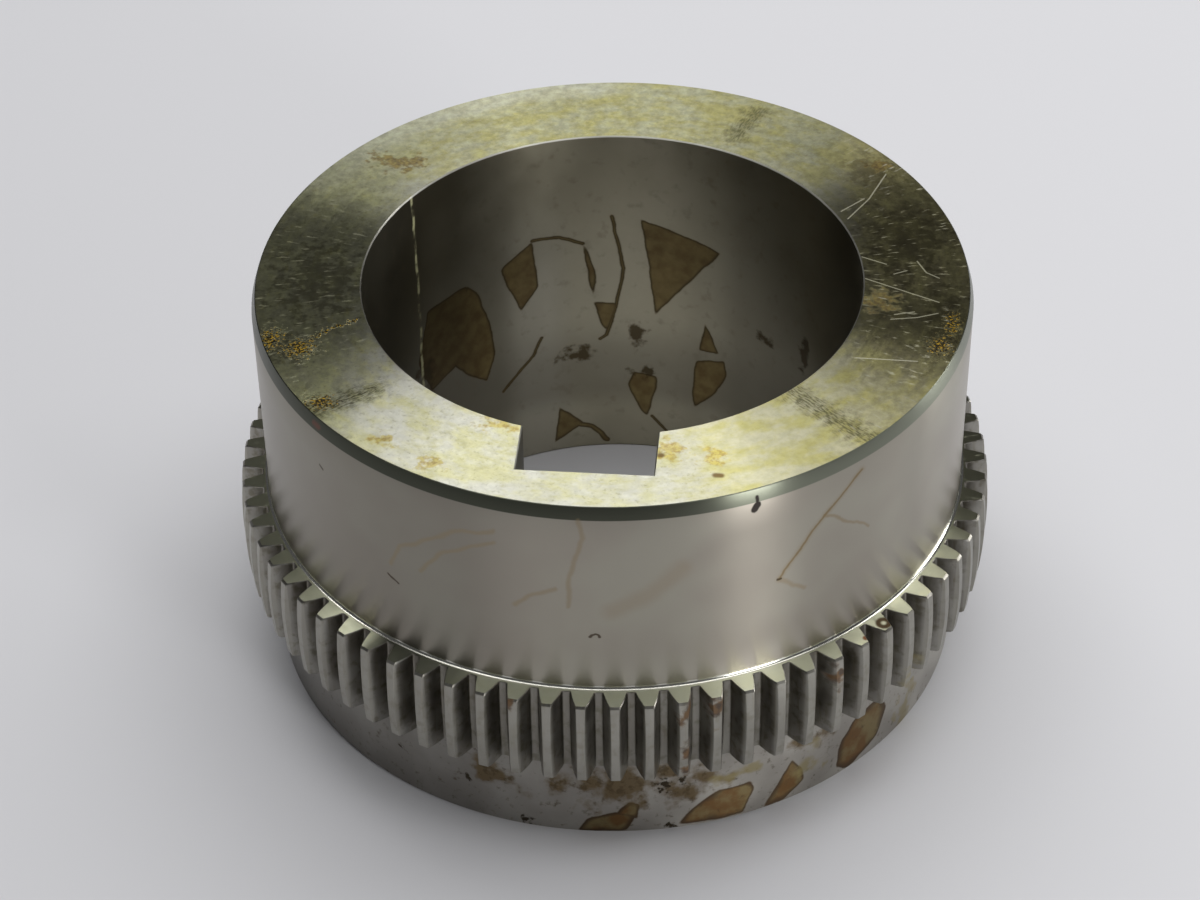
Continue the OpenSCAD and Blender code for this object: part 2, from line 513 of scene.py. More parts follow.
# Darker grainy blotches towards the left and right of the face.
side_blotches = spots(tree, spot, (
    ((82, 14), (7, 22)), ((72, -20), (14, 24)), ((-72, 8), (14, 22)), ((62, -51), (8, 8)),
    ((-75, 34), (9, 8)),
), 0.5)
side_blotches = times(tree, times(tree, side_blotches, upper), 0.5)
color = mix_colors(tree, side_blotches, color, (0.110, 0.092, 0.045))
amber = spots(tree, spot, (
    ((-21.5, 60.2), (6, 3.5)), ((-35.6, 75.4), (5, 3)), ((-46.9, 67.5), (4, 3)),
    ((19, 66.3), (4, 4.5)), ((29, 68), (4, 5)),
), 0.45)
amber = times(tree, times(tree, amber, upper), 0.75)
color = mix_colors(tree, amber, color, mix_colors(
    tree, fade(tree, grains, 0.40, 0.62), (0.520, 0.430, 0.100), (0.340, 0.235, 0.040),
))
soft_rust = spots(tree, spot, (
    ((-60.0, -45.6), (8.5, 6)), ((66.5, 6.1), (5.5, 6)), ((64.5, -53.0), (4.5, 4)),
), 0.4)
soft_rust = times(tree, times(tree, soft_rust, upper), 0.8)
color = mix_colors(tree, soft_rust, color, mix_colors(
    tree, fade(tree, grains, 0.36, 0.62), (0.250, 0.185, 0.045), (0.110, 0.068, 0.022),
))
orange = spots(tree, spot, (
    ((-72.5, 34.5), (5.5, 5)), ((-80, 31.5), (4, 6)), ((-64, 54.8), (5, 3.5)),
    ((80.7, 23), (3.5, 5)), ((83.5, 14), (2.5, 7)),
), 1.1)
streak = line(tree, spot, on_face(((-69.5, 64.5), (-68.5, 71), (-66, 77))), 0.2)
streak = fade(tree, math_node(tree, "ADD", streak, fade(tree, grains, 0.3, 0.7, 1.2, -1.2)), 0.6, -0.2)
orange = times(tree, math_node(tree, "MAXIMUM", orange, streak), upper)
speckle = fade(tree, noise(tree, place["Point"], 1.7, 3.0), 0.49, 0.62)
rust_color = mix_colors(tree, speckle, (0.018, 0.015, 0.006), (0.440, 0.280, 0.026))
color = mix_colors(tree, orange, color, rust_color)
brown_drops = (((13.8, 70.6), (14.0, 70.6)), ((21.8, 80.5), (22.6, 81.0)))
drops = nearest_of(tree, [line(tree, spot, on_face(drop_ends), 0.6) for drop_ends in brown_drops])
drops = times(tree, fade(tree, drops, 0.6, -0.3, 0.0, 0.85), upper)
color = mix_colors(tree, drops, color, (0.190, 0.105, 0.025))
scratches = (
    ((92.9, 62.5), (86.2, 80.5)), ((101.3, 62.5), (98.1, 68)), ((94.6, 69.5), (95.7, 72.8)),
    ((93.3, 80.5), (95, 77.5), (98.6, 75.8)), ((116.3, 64), (121, 73), (126.3, 82.7)),
    ((119.6, 64), (121.5, 71.9)), ((79.3, 70), (81, 76), (83, 80.7)), ((81, 70.5), (82.6, 75)),
    ((64.5, 67), (68.8, 80.7)),
)
scratch = nearest_of(tree, [line(tree, spot, on_face(run), 0.0) for run in scratches])
scratch = times(tree, fade(tree, scratch, 0.3, 0.05, 0.0, 0.8), upper)
nicks = fade(tree, strokes, 0.60, 0.74)
nicks = times(tree, nicks, fade(tree, parts.outputs["X"], -60, 60, 0.35, 0.7))
scratch = math_node(tree, "MAXIMUM", scratch, times(tree, nicks, aside))
color = mix_colors(tree, scratch, color, (0.50, 0.49, 0.38))
# The tooth ring's end faces: pale steel with painted highlights and shade that change with the angle,
# and a dark ring and a red spot.
tooth_end_highlights_and_marks = mix_colors(tree, 0.8, color, (0.800, 0.812, 0.600))
tooth_end_highlights_and_marks = painted_light_by_angle(tree, tooth_end_highlights_and_marks, place["Angle"], (
    (-180, 0.60), (-110, 0.70), (-80, 0.86), (-60, 0.80), (-46, 0.66), (-40, 1.0), (-36, 1.0),
    (-33, 0.16), (-20, 0.18), (-15, 0.42), (3, 0.58), (26, 0.74), (45, 0.80), (50, 0.62),
    (58, 0.95), (65, 0.70), (75, 0.50), (180, 0.60),
))
ring = vector_node(tree, "DISTANCE", spot, on_face(((49, 93.2),))[0])
ring = math_node(tree, "ABSOLUTE", math_node(tree, "SUBTRACT", ring, 1.3))
tooth_end_highlights_and_marks = mix_colors(tree, fade(tree, ring, 1.1, 0.3, 0.0, 0.95), tooth_end_highlights_and_marks, (0.055, 0.030, 0.012))
red = vector_node(tree, "DISTANCE", spot, on_face(((44.75, 94),))[0])
tooth_end_highlights_and_marks = mix_colors(tree, fade(tree, red, 1.1, 0.5, 0.0, 0.9), tooth_end_highlights_and_marks, (0.200, 0.060, 0.018))
color = mix_colors(tree, upper, tooth_end_highlights_and_marks, color)
feed(tree, steel["Base Color"], color)
rusty = math_node(tree, "MAXIMUM", math_node(tree, "MAXIMUM", orange, soft_rust), drops)
feed(tree, steel["Metallic"], math_node(
    tree, "SUBTRACT", 1.0, times(tree, math_node(tree, "MAXIMUM", rusty, scratch), 0.5),
))
roughness = math_node(
    tree, "ADD", fade(tree, fine_clouds, 0.3, 0.7, 0.37, 0.43),
    fade(tree, marks["Fine"], 0.3, 0.7, -0.03, 0.03),
)
roughness = math_node(tree, "ADD", roughness, times(tree, scratch, 0.3))
feed(tree, steel["Roughness"], math_node(tree, "ADD", roughness, times(tree, rusty, 0.3)))
roughen(tree, steel, math_node(
    tree, "ADD", marks["Fine"], times(tree, rusty, times(tree, grains, 6.0)),
), 0.35)

# Bore and keyway
# The bore was finished to size and the keyway broached through it. Oil that
# ran down the wall dried in sharp brown patches with darker rims.
bore_size = 61.9
edge_start = 104.3
bore_steel, tree, steel = new_steel("bore_steel", 0.6)
place = use_group(tree, turned_place, Turn=math.pi, Radius=bore_size, Wobble=1.6)
marks = use_group(tree, turning_marks, Across=place["Height"], Angle=place["Angle"])
smudge = noise(tree, place["Point"], 0.05, 5.0)
color = mix_colors(tree, fade(tree, smudge, 0.35, 0.68), (0.475, 0.440, 0.325), (0.556, 0.520, 0.392))
# Painted light and shade: the bore wall is lighter on the far side and darker towards the sides.
bore_painted_shade = (
    (-180, 0.26), (-75, 0.29), (-45, 0.54), (-30, 0.62), (-20, 0.80), (-8, 0.93), (14, 0.86),
    (21, 0.78), (27, 0.66), (33, 0.52), (50, 0.42), (75, 0.22), (180, 0.26),
)
color = painted_light_by_angle(tree, color, place["Angle"], bore_painted_shade)
# Painted reflection: a lighter upright band on the wall near 25 degrees.
aside = math_node(tree, "ABSOLUTE", math_node(tree, "SUBTRACT", place["Angle"], math.radians(25)))
painted_reflection_band = times(
    tree, fade(tree, aside, 0.20, 0.04), fade(tree, place["Height"], 95, 55, 0.0, 0.75)
)
color = mix_colors(tree, painted_reflection_band, color, (0.500, 0.475, 0.385))
shade = times(
    tree, fade(tree, place["Height"], 48, 29, 0.0, 0.48), fade(tree, place["Height"], 12, 22)
)
color = mix_colors(tree, shade, color, (0.150, 0.138, 0.105))
spread = noise(tree, place["Point"], 0.3, 4.0)
color = mix_colors(tree, fade(tree, spread, 0.55, 0.75, 0.0, 0.3), color, (0.190, 0.160, 0.110))
bore_patches = (
    ((-22.9, 71.5), (-2.2, 78.2), (-5.8, 46.8)),
    ((3.7, 50.2), (10.1, 50.7), (8.3, 42.7), (6.4, 40.7)),
    ((10.1, 53), (8.8, 58.5), (10.6, 66.8), (12.6, 70.5), (11.7, 62)),
    ((25.2, 73.8), (33.9, 67.3), (32.9, 61.8), (29, 51.5), (23.7, 58.5), (24, 62.3)),
    ((39.3, 31.5), (43.6, 35.2), (51, 44), (44.1, 66.5), (40.5, 61.8), (37.5, 51), (36.4, 39.3)),
    ((40, 48), (50, 41), (57.4, 39.3), (62, 51), (57.4, 66), (44.1, 66.5)),
    ((-18.9, 46.8), (-17.1, 36.8), (-22.9, 37.7)),
    ((-24.4, 35.7), (-16.3, 33.2), (-15.4, 22.7), (-16, 16.5), (-21.7, 22.7), (-25.2, 31)),
    ((-6.3, 25.2), (-0.2, 26.8), (1.4, 21.8), (-1.7, 12.7), (-4, 10.2), (-5.2, 16), (-7.1, 21)),
    ((19.3, 15.2), (20.8, 2.2), (16, 6), (12.5, 8.6)),
)
bore_lines = (
    (((5.1, 78.8), (2.3, 61.8), (4, 50.2), (6.8, 39.3), (8.3, 38)), 0.55),
    (((12.6, 70.5), (18.3, 73.5), (25.2, 73.8)), 0.6),
    (((23.7, 41), (26, 35.2), (34.4, 26.3)), 0.5),
    (((-4.6, 11), (-8.9, 6.3)), 0.5),
    (((15, 9), (11, 7), (8.5, 4.6), (7.2, 2)), 0.9),
)


def on_bore(points):
    return [turned_point(p, bore_size) for p in points]


stain_film = mix_colors(tree, fade(tree, spread, 0.3, 0.7), (0.255, 0.190, 0.075), (0.180, 0.122, 0.046))
# The stains take the same painted shade, darker towards the sides of the bore.
stain_painted_shade = ((-75, 0.6), (-30, 1.0), (36, 1.0), (50, 0.62), (75, 0.35))
stain_film = painted_light_by_angle(tree, stain_film, place["Angle"], stain_painted_shade)
distances = [patch(tree, place["Place"], on_bore(corners)) for corners in bore_patches]
distances += [line(tree, place["Place"], on_bore(points), width) for points, width in bore_lines]
stain = use_group(
    tree, dried_stain, Steel=color, Distance=nearest_of(tree, distances),
    Fill=stain_film, Rim=(0.070, 0.050, 0.020), Strength=0.92,
)
smears = spots(tree, place["Place"], (
    ((-1.3, 39.5), (3, 5)), ((15.5, 32.5), (6, 4)), ((-39, 49), (3.5, 2.2)), ((-54, 52), (2.5, 6)),
    ((-3.2, 27), (5, 3)), ((63, 46), (5, 9)),
), 0.3)
color = mix_colors(tree, times(tree, smears, 0.9), stain["Color"], (0.072, 0.051, 0.022))
# Painted reflection of the keyway's edge: a pale, broken upright line on the wall.
keyway_reflection_line = line(tree, place["Place"], on_bore(((60.8, 105), (60.3, 74), (60.6, 20))), 0.15)
keyway_reflection_mask = times(
    tree, fade(tree, keyway_reflection_line, 0.6, 0.0),
    fade(tree, noise(tree, place["Point"], 0.35, 3.0), 0.35, 0.6),
)
color = mix_colors(tree, keyway_reflection_mask, color, (0.550, 0.540, 0.300))
# Painted highlight: the edge break round the top of the bore is painted pale, as a glint.
painted_edge_glint = fade(tree, place["Height"], edge_start - 0.1, edge_start + 0.05)
color = mix_colors(tree, painted_edge_glint, color, (0.640, 0.630, 0.560))
feed(tree, steel["Base Color"], color)
feed(tree, steel["Metallic"], math_node(tree, "SUBTRACT", 1.0, times(tree, keyway_reflection_mask, 0.8)))
feed(tree, steel["Roughness"], math_node(
    tree, "ADD", fade(tree, smudge, 0.3, 0.7, 0.30, 0.38), times(tree, stain["Mask"], 0.1),
))
roughen(tree, steel, marks["Fine"], 0.2)

# Collar
# The short plain end that stands on the bench. Oil pooled and dried along it,
# and dirt gathered in the corner below the teeth.
collar_steel, tree, steel = new_steel("collar_steel", 0.6)
place = use_group(tree, turned_place, Radius=barrel_size, Wobble=1.8)
marks = use_group(tree, turning_marks, Across=place["Height"], Angle=place["Angle"])
smudge = noise(tree, place["Point"], 0.06, 5.0)
color = mix_colors(tree, fade(tree, smudge, 0.35, 0.68), (0.310, 0.292, 0.262), (0.395, 0.378, 0.342))
# Painted light and shade: the collar is darker on the left and lighter on the right.
collar_painted_light = (
    (-180, 0.8), (-130, 0.7), (-80, 0.46), (-60, 0.68), (-24, 0.72), (-5, 0.92), (20, 1.0),
    (50, 1.0), (80, 0.9), (180, 0.8),
)
color = painted_light_by_angle(tree, color, place["Angle"], collar_painted_light)
collar_patches = (
    ((-1.3, 0.4), (0.3, 5.1), (4.3, 7.6), (8.3, 6.5), (6.2, 0.9)),
    ((4.3, 6.0), (6.9, 10.9), (8.5, 10.1), (8.3, 5.1)),
    ((14.8, 1.7), (17.4, 7.6), (21.1, 10.9), (26.6, 11.4), (27.2, 8.4), (25.3, 0.9)),
    ((29, 0.9), (31.6, 8.4), (33.9, 13.4), (36, 9.2), (36.3, 5.1), (32.6, 0.7)),
    ((43, 3.4), (43.7, 11.7), (46.4, 16.4), (53, 18.2), (54.6, 12), (52.4, 4.4), (45.3, 0.7)),
)
pooled = noise(tree, place["Point"], 0.18, 5.0)
pool = mix_colors(tree, fade(tree, pooled, 0.38, 0.62), (0.135, 0.068, 0.019), (0.182, 0.138, 0.060))
rim_width = fade(tree, noise(tree, place["Point"], 0.1, 3.0), 0.35, 0.65, 0.8, 3.0)
distances = [patch(tree, place["Place"], on_barrel(corners)) for corners in collar_patches]
stain = use_group(
    tree, dried_stain, Steel=color, Distance=nearest_of(tree, distances),
    Fill=pool, Rim=(0.050, 0.027, 0.011), Strength=0.94, **{"Rim width": rim_width},
)
collar_smears = spots(tree, place["Place"], (
    ((9, 16), (20, 9)), ((-23, 15.5), (7, 5)), ((25, 15), (12, 9)), ((20, 21), (14, 5)),
    ((60, 17), (9, 4)),
), 0.16)
color = mix_colors(tree, times(tree, collar_smears, 0.92), stain["Color"], (0.142, 0.100, 0.049))
grime = noise(tree, place["Point"], 0.5, 6.0, 0.6)
grime = fade(tree, math_node(tree, "MULTIPLY_ADD", collar_smears, 0.10, grime), 0.56, 0.74, 0.0, 0.7)
color = mix_colors(tree, grime, color, (0.085, 0.062, 0.034))
yellow = spots(tree, place["Place"], (
    ((37, 15.5), (7, 3)), ((94, 7), (6, 8)), ((58, 12), (5, 6)),
), 0.2)
color = mix_colors(tree, times(tree, yellow, 0.7), color, (0.270, 0.225, 0.100))
specks = spots(tree, place["Place"], (
    ((-14.6, 2.2), (1.8, 1.6)), ((21, 1.4), (1.8, 1.5)), ((-25, 20), (1.2, 1.2)),
    ((-30, 12.2), (1.8, 1.4)), ((-50, 13.4), (1, 1)), ((19, 16), (2, 3)), ((24, 17), (1, 2.5)),
), 0.8)
color = mix_colors(tree, specks, color, (0.045, 0.035, 0.022))
feed(tree, steel["Base Color"], color)
feed(tree, steel["Roughness"], math_node(
    tree, "ADD", fade(tree, smudge, 0.3, 0.7, 0.32, 0.42), times(tree, stain["Mask"], 0.12),
))
roughen(tree, steel, marks["Fine"], 0.25)

# Teeth
# Hobbed flanks and turned tips. The tips are lighter and the roots darker,
# and a few teeth near the stains on the collar have rusted.
tooth_steel, tree, steel = new_steel("tooth_steel", 0.0)
place = use_group(tree, turned_place, Radius=96.0, Wobble=1.0)
smudge = noise(tree, place["Point"], 0.12, 5.0)
streaks = noise(tree, vector_node(tree, "MULTIPLY", place["Point"], (1.0, 1.0, 0.12)), 0.9, 4.0)
color = mix_colors(tree, fade(tree, smudge, 0.35, 0.68), (0.240, 0.228, 0.204), (0.320, 0.310, 0.280))
color = mix_colors(tree, fade(tree, streaks, 0.52, 0.72, 0.0, 0.5), color, (0.190, 0.170, 0.122))
dirt = noise(tree, place["Point"], 0.4, 6.0)
color = mix_colors(tree, fade(tree, dirt, 0.48, 0.70, 0.0, 0.6), color, (0.125, 0.110, 0.072))
# Darker towards the roots of the gaps, and lighter at the tips.
color = mix_colors(tree, fade(tree, place["Radius"], 92.3, 90.6, 0.0, 0.3), color, (0.140, 0.125, 0.095))
color = mix_colors(tree, fade(tree, place["Radius"], 95.2, 95.6, 0.0, 0.5), color, (0.360, 0.348, 0.305))
# Painted light and shade: the teeth are lighter on the left and darker on the right.
tooth_painted_light = (
    (-180, 1.0), (-110, 1.15), (-80, 1.25), (-55, 1.08), (-40, 1.0), (55, 1.0), (70, 0.86),
    (85, 0.84), (110, 0.95), (180, 1.0),
)
color = painted_light_by_angle(tree, color, place["Angle"], tooth_painted_light)
rust = spots(tree, place["Place"], (
    ((25.0, 45.5), (2.4, 5)), ((25.2, 34), (1.5, 4)), ((25.2, 27), (2.2, 4)), ((32.3, 46), (3, 5)),
    ((65, 44), (2.5, 5)), ((-17, 48), (1.5, 3)),
), 0.35)
rust_color = mix_colors(tree, fade(tree, dirt, 0.4, 0.6), (0.110, 0.054, 0.014), (0.042, 0.021, 0.008))
color = mix_colors(tree, times(tree, rust, 0.95), color, rust_color)
yellow = spots(tree, place["Place"], (((92, 26), (6, 6)),), 0.2)
color = mix_colors(tree, times(tree, yellow, 0.6), color, (0.320, 0.270, 0.110))
feed(tree, steel["Base Color"], color)
feed(tree, steel["Metallic"], math_node(tree, "SUBTRACT", 1.0, times(tree, rust, 0.9)))
feed(tree, steel["Roughness"], math_node(
    tree, "ADD", fade(tree, smudge, 0.3, 0.7, 0.30, 0.42), times(tree, rust, 0.3),
))
roughen(tree, steel, streaks, 0.4)

# Tooth ring
# The ring of gear teeth was hobbed in the turned blank. Its tips lie on a
# sphere and its flanks are crowned, so that the hub can tilt in a sleeve.
tooth_count = 74
tooth_module = 2.54 * MM
pressure_angle = math.radians(20)
ring_low = 24.7 * MM
ring_high = 49.2 * MM
crown_depth = 0.4 * MM
root_round = 0.5 * MM
tip_chamfer = 0.5 * MM
edge_break = 0.15 * MM
shoulder_round = 0.8 * MM
root_land = 1.4 * MM

ring_middle = (ring_low + ring_high) / 2
half_face = (ring_high - ring_low) / 2
half_pitch = math.pi / tooth_count
pitch_radius = tooth_count * tooth_module / 2
base_radius = pitch_radius * math.cos(pressure_angle)
tip_radius = pitch_radius + tooth_module
root_radius = pitch_radius - 1.25 * tooth_module
barrel_radius = root_radius - crown_depth - root_land
ring_inner = barrel_radius + shoulder_round


def involute(angle):
    return math.tan(angle) - angle


def gap_half_angle(radius):
    lean = math.acos(min(1.0, base_radius / radius))
    tooth_half = half_pitch / 2 + involute(pressure_angle) - involute(lean)
    return half_pitch - tooth_half


def flank_point(radius):
    angle = gap_half_angle(radius)
    return Vector((radius * math.cos(angle), radius * math.sin(angle)))


def half_gap(height, shrink, tip_drop):
    """Points from the middle of a gap to the middle of a tooth, as radius and angle."""
    from_middle = height - ring_middle
    crown = crown_depth * (from_middle / half_face) ** 2 + shrink
    tip = math.sqrt(tip_radius**2 - from_middle**2) - tip_drop
    foot = flank_point(root_radius)
    lean = math.atan2(*(flank_point(pitch_radius) - foot).yx)
    centre_y = foot.y + root_round * (math.tan(lean) - 1 / math.cos(lean))
    points = [Vector((root_radius, 0))]
    for step in range(4):
        angle = math.pi - step * (math.pi / 2 - lean) / 3
        points.append(
            Vector((root_radius + root_round, centre_y))
            + root_round * Vector((math.cos(angle), math.sin(angle)))
        )
    start = root_radius + 1.3 * root_round
    end = tip + crown - edge_break
    points += [flank_point(start + (end - start) * step / 3) for step in range(4)]
    points = [Vector((p.x - crown, p.y + (shrink if p.y > 0 else 0))) for p in points]
    polar = [(p.length, math.atan2(p.y, p.x)) for p in points]
    tip_corner = polar[-1][1] + edge_break / tip
    return polar + [(tip, tip_corner), (tip, half_pitch)]


def tooth_row(height, shrink=0.0, tip_drop=0.0, tip_lift=0.0):
    """One tooth with half a gap on each side, as (radius, angle, height)."""
    half = half_gap(height, shrink, tip_drop)
    corner = len(half) - 3
    lifts = [tip_lift if i >= corner else 0.0 for i in range(len(half))]
    right = [(r, half_pitch - a, height + lift) for (r, a), lift in zip(half, lifts)]
    left = [(r, -a, z) for r, a, z in right]
    return left + right[-2::-1]


def polar_point(radius, angle, height):
    """Angle zero is the keyway's middle, and grows towards +X."""
    return (radius * math.sin(angle), -radius * math.cos(angle), height)


flank_rows = 11
row_gap = (2 * half_face - 2 * edge_break) / flank_rows
rows = [tooth_row(ring_low, edge_break, tip_chamfer)]
for step in range(flank_rows + 1):
    height = ring_low + edge_break + step * row_gap
    lift = {0: tip_chamfer - edge_break, flank_rows: edge_break - tip_chamfer}.get(step, 0)
    rows.append(tooth_row(height, tip_lift=lift))
rows.append(tooth_row(ring_high, edge_break, tip_chamfer))
angles = [angle for _, angle, _ in rows[len(rows) // 2]]
rows.insert(0, [(ring_inner, angle, ring_low) for angle in angles])
rows.append([(ring_inner, angle, ring_high) for angle in angles])

tooth_columns = len(angles)
tooth_points = [polar_point(*point) for row in rows for point in row]
tooth_faces = [
    (i * tooth_columns + k, i * tooth_columns + k + 1,
     (i + 1) * tooth_columns + k + 1, (i + 1) * tooth_columns + k)
    for i in range(len(rows) - 1)
    for k in range(tooth_columns - 1)
]
tooth_mesh = bpy.data.meshes.new("tooth")
tooth_mesh.from_pydata(tooth_points, [], tooth_faces)
tooth_mesh.materials.append(tooth_steel)
tooth = bpy.data.objects.new("tooth", tooth_mesh)
bpy.context.collection.objects.link(tooth)

# Turned body
# The barrel, the collar, both end faces, the bore and the broached keyway.
# The outside was turned in one setting, and the bore was finished to size.
bore = next(m for m in frame["record"]["mounts"] if m["name"] == "bore")
bore_radius = bore["dims"]["r_mm"] * MM
hub_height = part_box("hub")[1][2]
keyway_half = 31.75 / 2 * MM
keyway_depth = 15.88 * MM
bore_break = 0.3 * MM
lead_in_length = 3.2 * MM
lead_in_depth = 1.0 * MM
collar_chamfer = 0.8 * MM

turn = sorted(
    (2 * half_pitch * i + angle) % (2 * math.pi)
    for i in range(tooth_count)
    for angle in angles[:-1]
)
columns = len(turn)


def nearest_column(angle):
    return min(range(columns), key=lambda k: abs(turn[k] - angle))


def bore_outline(grow):
    """The bore and keyway as one (radius, angle) for each column, moved out by grow."""
    radius = bore_radius + grow
    half = keyway_half + grow
    floor = math.sqrt(bore_radius**2 - keyway_half**2) + keyway_depth + grow
    mouth_angle = math.asin(half / radius)
    mouth = nearest_column(mouth_angle)
    corner = nearest_column(math.atan2(half, floor))
    outline = []
    for k in range(columns // 2 + 1):
        if k > mouth:
            outline.append((radius, turn[k]))
        else:
            share = max(0, k - corner) / (mouth - corner)
            x = half * min(1, k / corner)
            y = floor + (radius * math.cos(mouth_angle) - floor) * share
            outline.append((math.hypot(x, y), math.atan2(x, y)))
    return outline + [(r, 2 * math.pi - angle) for r, angle in outline[-2:0:-1]]


def circle_row(radius, height):
    return [(radius, angle, height) for angle in turn]


def outline_row(outline, height):
    return [(radius, angle, height) for radius, angle in outline]


def between(first, last, steps):
    """Rows strictly between two rows."""
    made = []
    for step in range(1, steps):
        share = step / steps
        made.append([
            tuple(a + (b - a) * share for a, b in zip(p, q))
            for p, q in zip(first, last)
        ])
    return made


def shoulder(height, side):
    """The fillet between a cylinder and the ring's end face, from the face outwards."""
    made = []
    for step in range(5):
        angle = step * math.pi / 8
        made.append(circle_row(
            ring_inner - shoulder_round * math.sin(angle),
            height + side * shoulder_round * (1 - math.cos(angle)),
        ))
    return made


bore_wall = bore_outline(0)
bore_edge = bore_outline(bore_break)
barrel_top = circle_row(barrel_radius, hub_height - lead_in_length)
taper_top = circle_row(
    barrel_radius - lead_in_depth * (1 - edge_break / lead_in_length),
    hub_height - edge_break,
)
face_outer = circle_row(barrel_radius - lead_in_depth - edge_break, hub_height)
face_inner = outline_row(bore_edge, hub_height)
bore_top = outline_row(bore_wall, hub_height - bore_break)
bore_bottom = outline_row(bore_wall, bore_break)
foot_inner = outline_row(bore_edge, 0)
foot_outer = circle_row(barrel_radius - collar_chamfer, 0)
collar_bottom = circle_row(barrel_radius, collar_chamfer)
upper_shoulder = shoulder(ring_high, 1)
lower_shoulder = shoulder(ring_low, -1)[::-1]
body_materials = [barrel_steel, end_steel, bore_steel, collar_steel]
stretches = [
    (barrel_steel, upper_shoulder[:-1]),
    (barrel_steel, [upper_shoulder[-1]] + between(upper_shoulder[-1], barrel_top, 6)),
    (barrel_steel, [barrel_top]),
    (barrel_steel, [taper_top]),
    (end_steel, [face_outer] + between(face_outer, face_inner, 6)),
    (bore_steel, [face_inner]),
    (bore_steel, [bore_top] + between(bore_top, bore_bottom, 8)),
    (bore_steel, [bore_bottom]),
    (end_steel, [foot_inner] + between(foot_inner, foot_outer, 4)),
    (collar_steel, [foot_outer]),
    (collar_steel, [collar_bottom] + between(collar_bottom, lower_shoulder[0], 4)),
    (collar_steel, lower_shoulder),
]
body_rows = [row for _, rows_here in stretches for row in rows_here]
row_material = [
    body_materials.index(steel) for steel, rows_here in stretches for _ in rows_here
]
body_points = [polar_point(*point) for row in body_rows for point in row]
body_faces = []
face_materials = []
for i in range(len(body_rows) - 1):
    for k in range(columns):
        following = (k + 1) % columns
        body_faces.append((
            i * columns + k, i * columns + following,
            (i + 1) * columns + following, (i + 1) * columns + k,
        ))
        face_materials.append(row_material[i])
body_mesh = bpy.data.meshes.new("body")
body_mesh.from_pydata(body_points, [], body_faces)
for steel in body_materials:
    body_mesh.materials.append(steel)
body_mesh.polygons.foreach_set("material_index", face_materials)
body = bpy.data.objects.new("body", body_mesh)
bpy.context.collection.objects.link(body)

# The whole hub
# The tooth is repeated round the body and welded to it, so that the hub is
# one closed skin, as it is one piece of steel.
weld_distance = 0.01 * MM
sharp_angle = math.radians(28)
ring_tree = bpy.data.node_groups.new("tooth ring", "GeometryNodeTree")
sockets = {}
for name, kind in (
    ("Body", "NodeSocketGeometry"), ("Tooth", "NodeSocketObject"),
    ("Tooth count", "NodeSocketInt"), ("Weld distance", "NodeSocketFloat"),
    ("Tooth steel", "NodeSocketMaterial"),
):
    sockets[name] = ring_tree.interface.new_socket(name, in_out="INPUT", socket_type=kind)
ring_tree.interface.new_socket("Hub", in_out="OUTPUT", socket_type="NodeSocketGeometry")
given = add_node(ring_tree, "NodeGroupInput").outputs
one_tooth = add_node(ring_tree, "GeometryNodeObjectInfo")
places = add_node(ring_tree, "GeometryNodePoints")
step_angle = add_node(ring_tree, "ShaderNodeMath", operation="DIVIDE")
step_angle.inputs[0].default_value = 2 * math.pi
place_angle = add_node(ring_tree, "ShaderNodeMath", operation="MULTIPLY")
place_turn = add_node(ring_tree, "FunctionNodeAxisAngleToRotation")
place_turn.inputs["Axis"].default_value = (0, 0, 1)
copies = add_node(ring_tree, "GeometryNodeInstanceOnPoints")
ring = add_node(ring_tree, "GeometryNodeRealizeInstances")
steel_ring = add_node(ring_tree, "GeometryNodeSetMaterial")
joined = add_node(ring_tree, "GeometryNodeJoinGeometry")
welded = add_node(ring_tree, "GeometryNodeMergeByDistance")
result = add_node(ring_tree, "NodeGroupOutput")
for source, target in (
    (given["Tooth"], one_tooth.inputs["Object"]),
    (given["Tooth count"], places.inputs["Count"]),
    (given["Tooth count"], step_angle.inputs[1]),
    (add_node(ring_tree, "GeometryNodeInputIndex").outputs[0], place_angle.inputs[0]),
    (step_angle.outputs[0], place_angle.inputs[1]),
    (place_angle.outputs[0], place_turn.inputs["Angle"]),
    (places.outputs[0], copies.inputs["Points"]),
    (one_tooth.outputs["Geometry"], copies.inputs["Instance"]),
    (place_turn.outputs[0], copies.inputs["Rotation"]),
    (copies.outputs[0], ring.inputs[0]),
    (ring.outputs[0], steel_ring.inputs["Geometry"]),
    (given["Tooth steel"], steel_ring.inputs["Material"]),
    (given["Body"], joined.inputs[0]),
    (steel_ring.outputs[0], joined.inputs[0]),
    (joined.outputs[0], welded.inputs["Geometry"]),
    (given["Weld distance"], welded.inputs["Distance"]),
    (welded.outputs[0], result.inputs[0]),
):
    ring_tree.links.new(source, target)
ring_modifier = body.modifiers.new("tooth ring", "NODES")
ring_modifier.node_group = ring_tree
ring_modifier[sockets["Tooth"].identifier] = tooth
ring_modifier[sockets["Tooth count"].identifier] = tooth_count
ring_modifier[sockets["Weld distance"].identifier] = weld_distance
ring_modifier[sockets["Tooth steel"].identifier] = tooth_steel
bpy.context.view_layer.update()
evaluated = body.evaluated_get(bpy.context.evaluated_depsgraph_get())
hub_mesh = bpy.data.meshes.new_from_object(evaluated)
hub_mesh.name = "turned_hub"
body.modifiers.clear()
for spare in (body, tooth):
    bpy.data.objects.remove(spare)
end_index = hub_mesh.materials.find("end_steel")
for face in hub_mesh.polygons:
    if face.center.xy.length > ring_inner and abs(face.normal.z) > 0.9:
        face.material_index = end_index
hub_mesh.polygons.foreach_set("use_smooth", [True] * len(hub_mesh.polygons))
hub_mesh.set_sharp_from_angle(angle=sharp_angle)
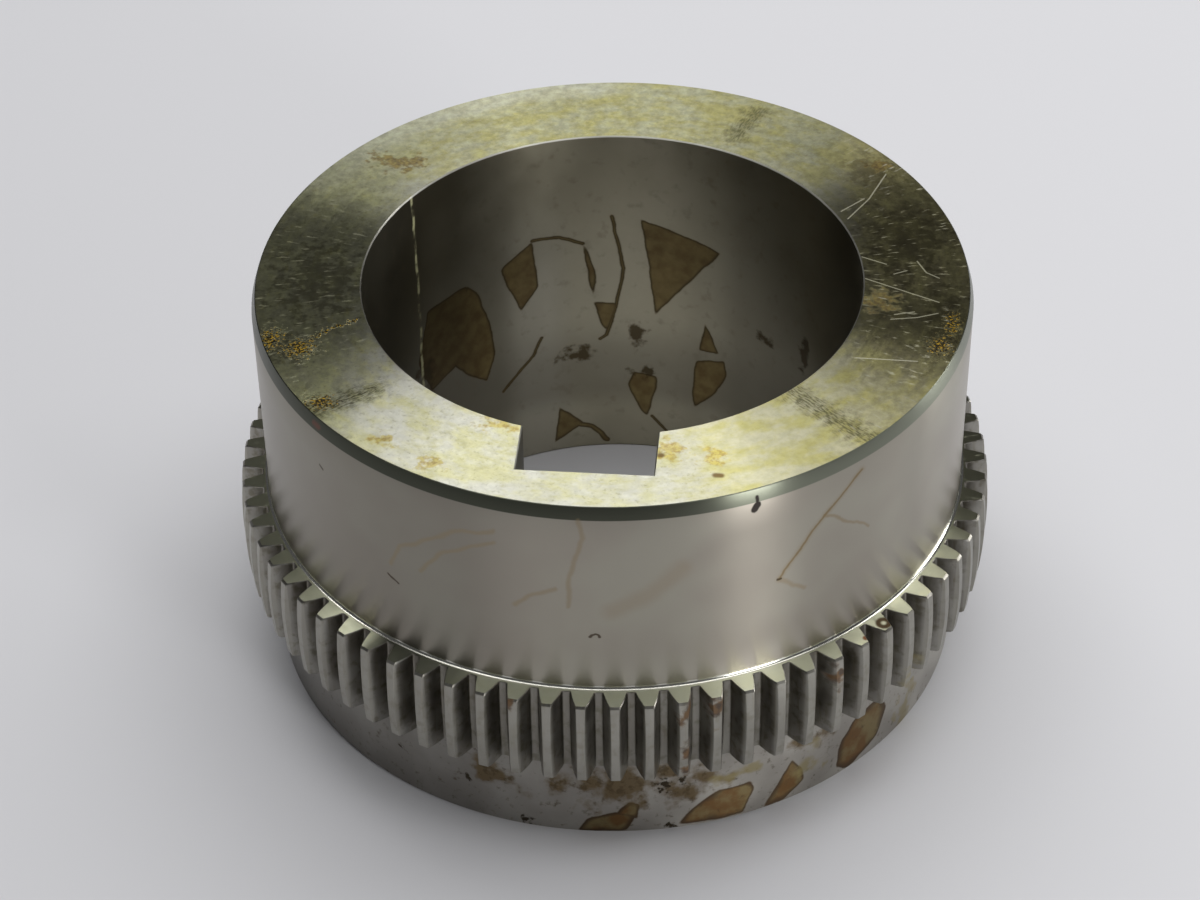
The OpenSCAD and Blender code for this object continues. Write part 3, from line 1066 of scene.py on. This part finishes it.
hub = bpy.data.objects.new("turned_hub", hub_mesh)
bpy.context.collection.objects.link(hub)
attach(hub, "root")
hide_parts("hub")

# Floor
# A plain pale surface that takes the hub's shadow and shows in the steel.
floor_size = 6.0
floor_mesh = bpy.data.meshes.new("floor")
half_floor = floor_size / 2
floor_mesh.from_pydata(
    [(-half_floor, -half_floor, 0), (half_floor, -half_floor, 0),
     (half_floor, half_floor, 0), (-half_floor, half_floor, 0)],
    [], [(0, 1, 2, 3)],
)
floor_paint = bpy.data.materials.new("floor_paint")
floor_paint.use_nodes = True
paint = floor_paint.node_tree.nodes["Principled BSDF"].inputs
paint["Base Color"].default_value = (0.63, 0.63, 0.65, 1)
paint["Roughness"].default_value = 0.8
floor_mesh.materials.append(floor_paint)
floor = bpy.data.objects.new("floor", floor_mesh)
bpy.context.collection.objects.link(floor)

# Light
# Three soft lamps overhead, with the widest behind the hub, and two low ones
# to the right, which the barrel shows as upright streaks.
lamp_height = 1.5
low_lamp_height = 0.30


def soft_light(name, place, aim, size, power):
    lamp = bpy.data.lights.new(name, "AREA")
    lamp.shape = "RECTANGLE"
    lamp.size, lamp.size_y = size
    lamp.energy = power
    made = bpy.data.objects.new(name, lamp)
    made.location = place
    made.rotation_euler = (Vector(aim) - Vector(place)).to_track_quat("-Z", "Y").to_euler()
    bpy.context.collection.objects.link(made)


soft_light("back", (-0.11, 0.68, lamp_height), (-0.11, 0.68, 0), (1.65, 0.42), 14.5)
soft_light("ceiling", (0, -0.05, lamp_height), (0, -0.05, 0), (1.5, 0.8), 10)
soft_light("back_corner", (0.95, 0.75, lamp_height), (0.95, 0.75, 0), (0.5, 0.5), 3.5)
soft_light("front_right", (1.05, -1.12, low_lamp_height), (0, 0, 0.05), (0.35, 0.5), 11)
soft_light("right", (1.45, 0.55, low_lamp_height), (0, 0, 0.05), (0.5, 0.5), 8.5)
world = bpy.data.worlds.new("studio")
bpy.context.scene.world = world
world.use_nodes = True
world.node_tree.nodes["Background"].inputs["Color"].default_value = (0.5, 0.5, 0.52, 1)
world.node_tree.nodes["Background"].inputs["Strength"].default_value = 0.16
bpy.context.scene.view_settings.view_transform = "Standard"
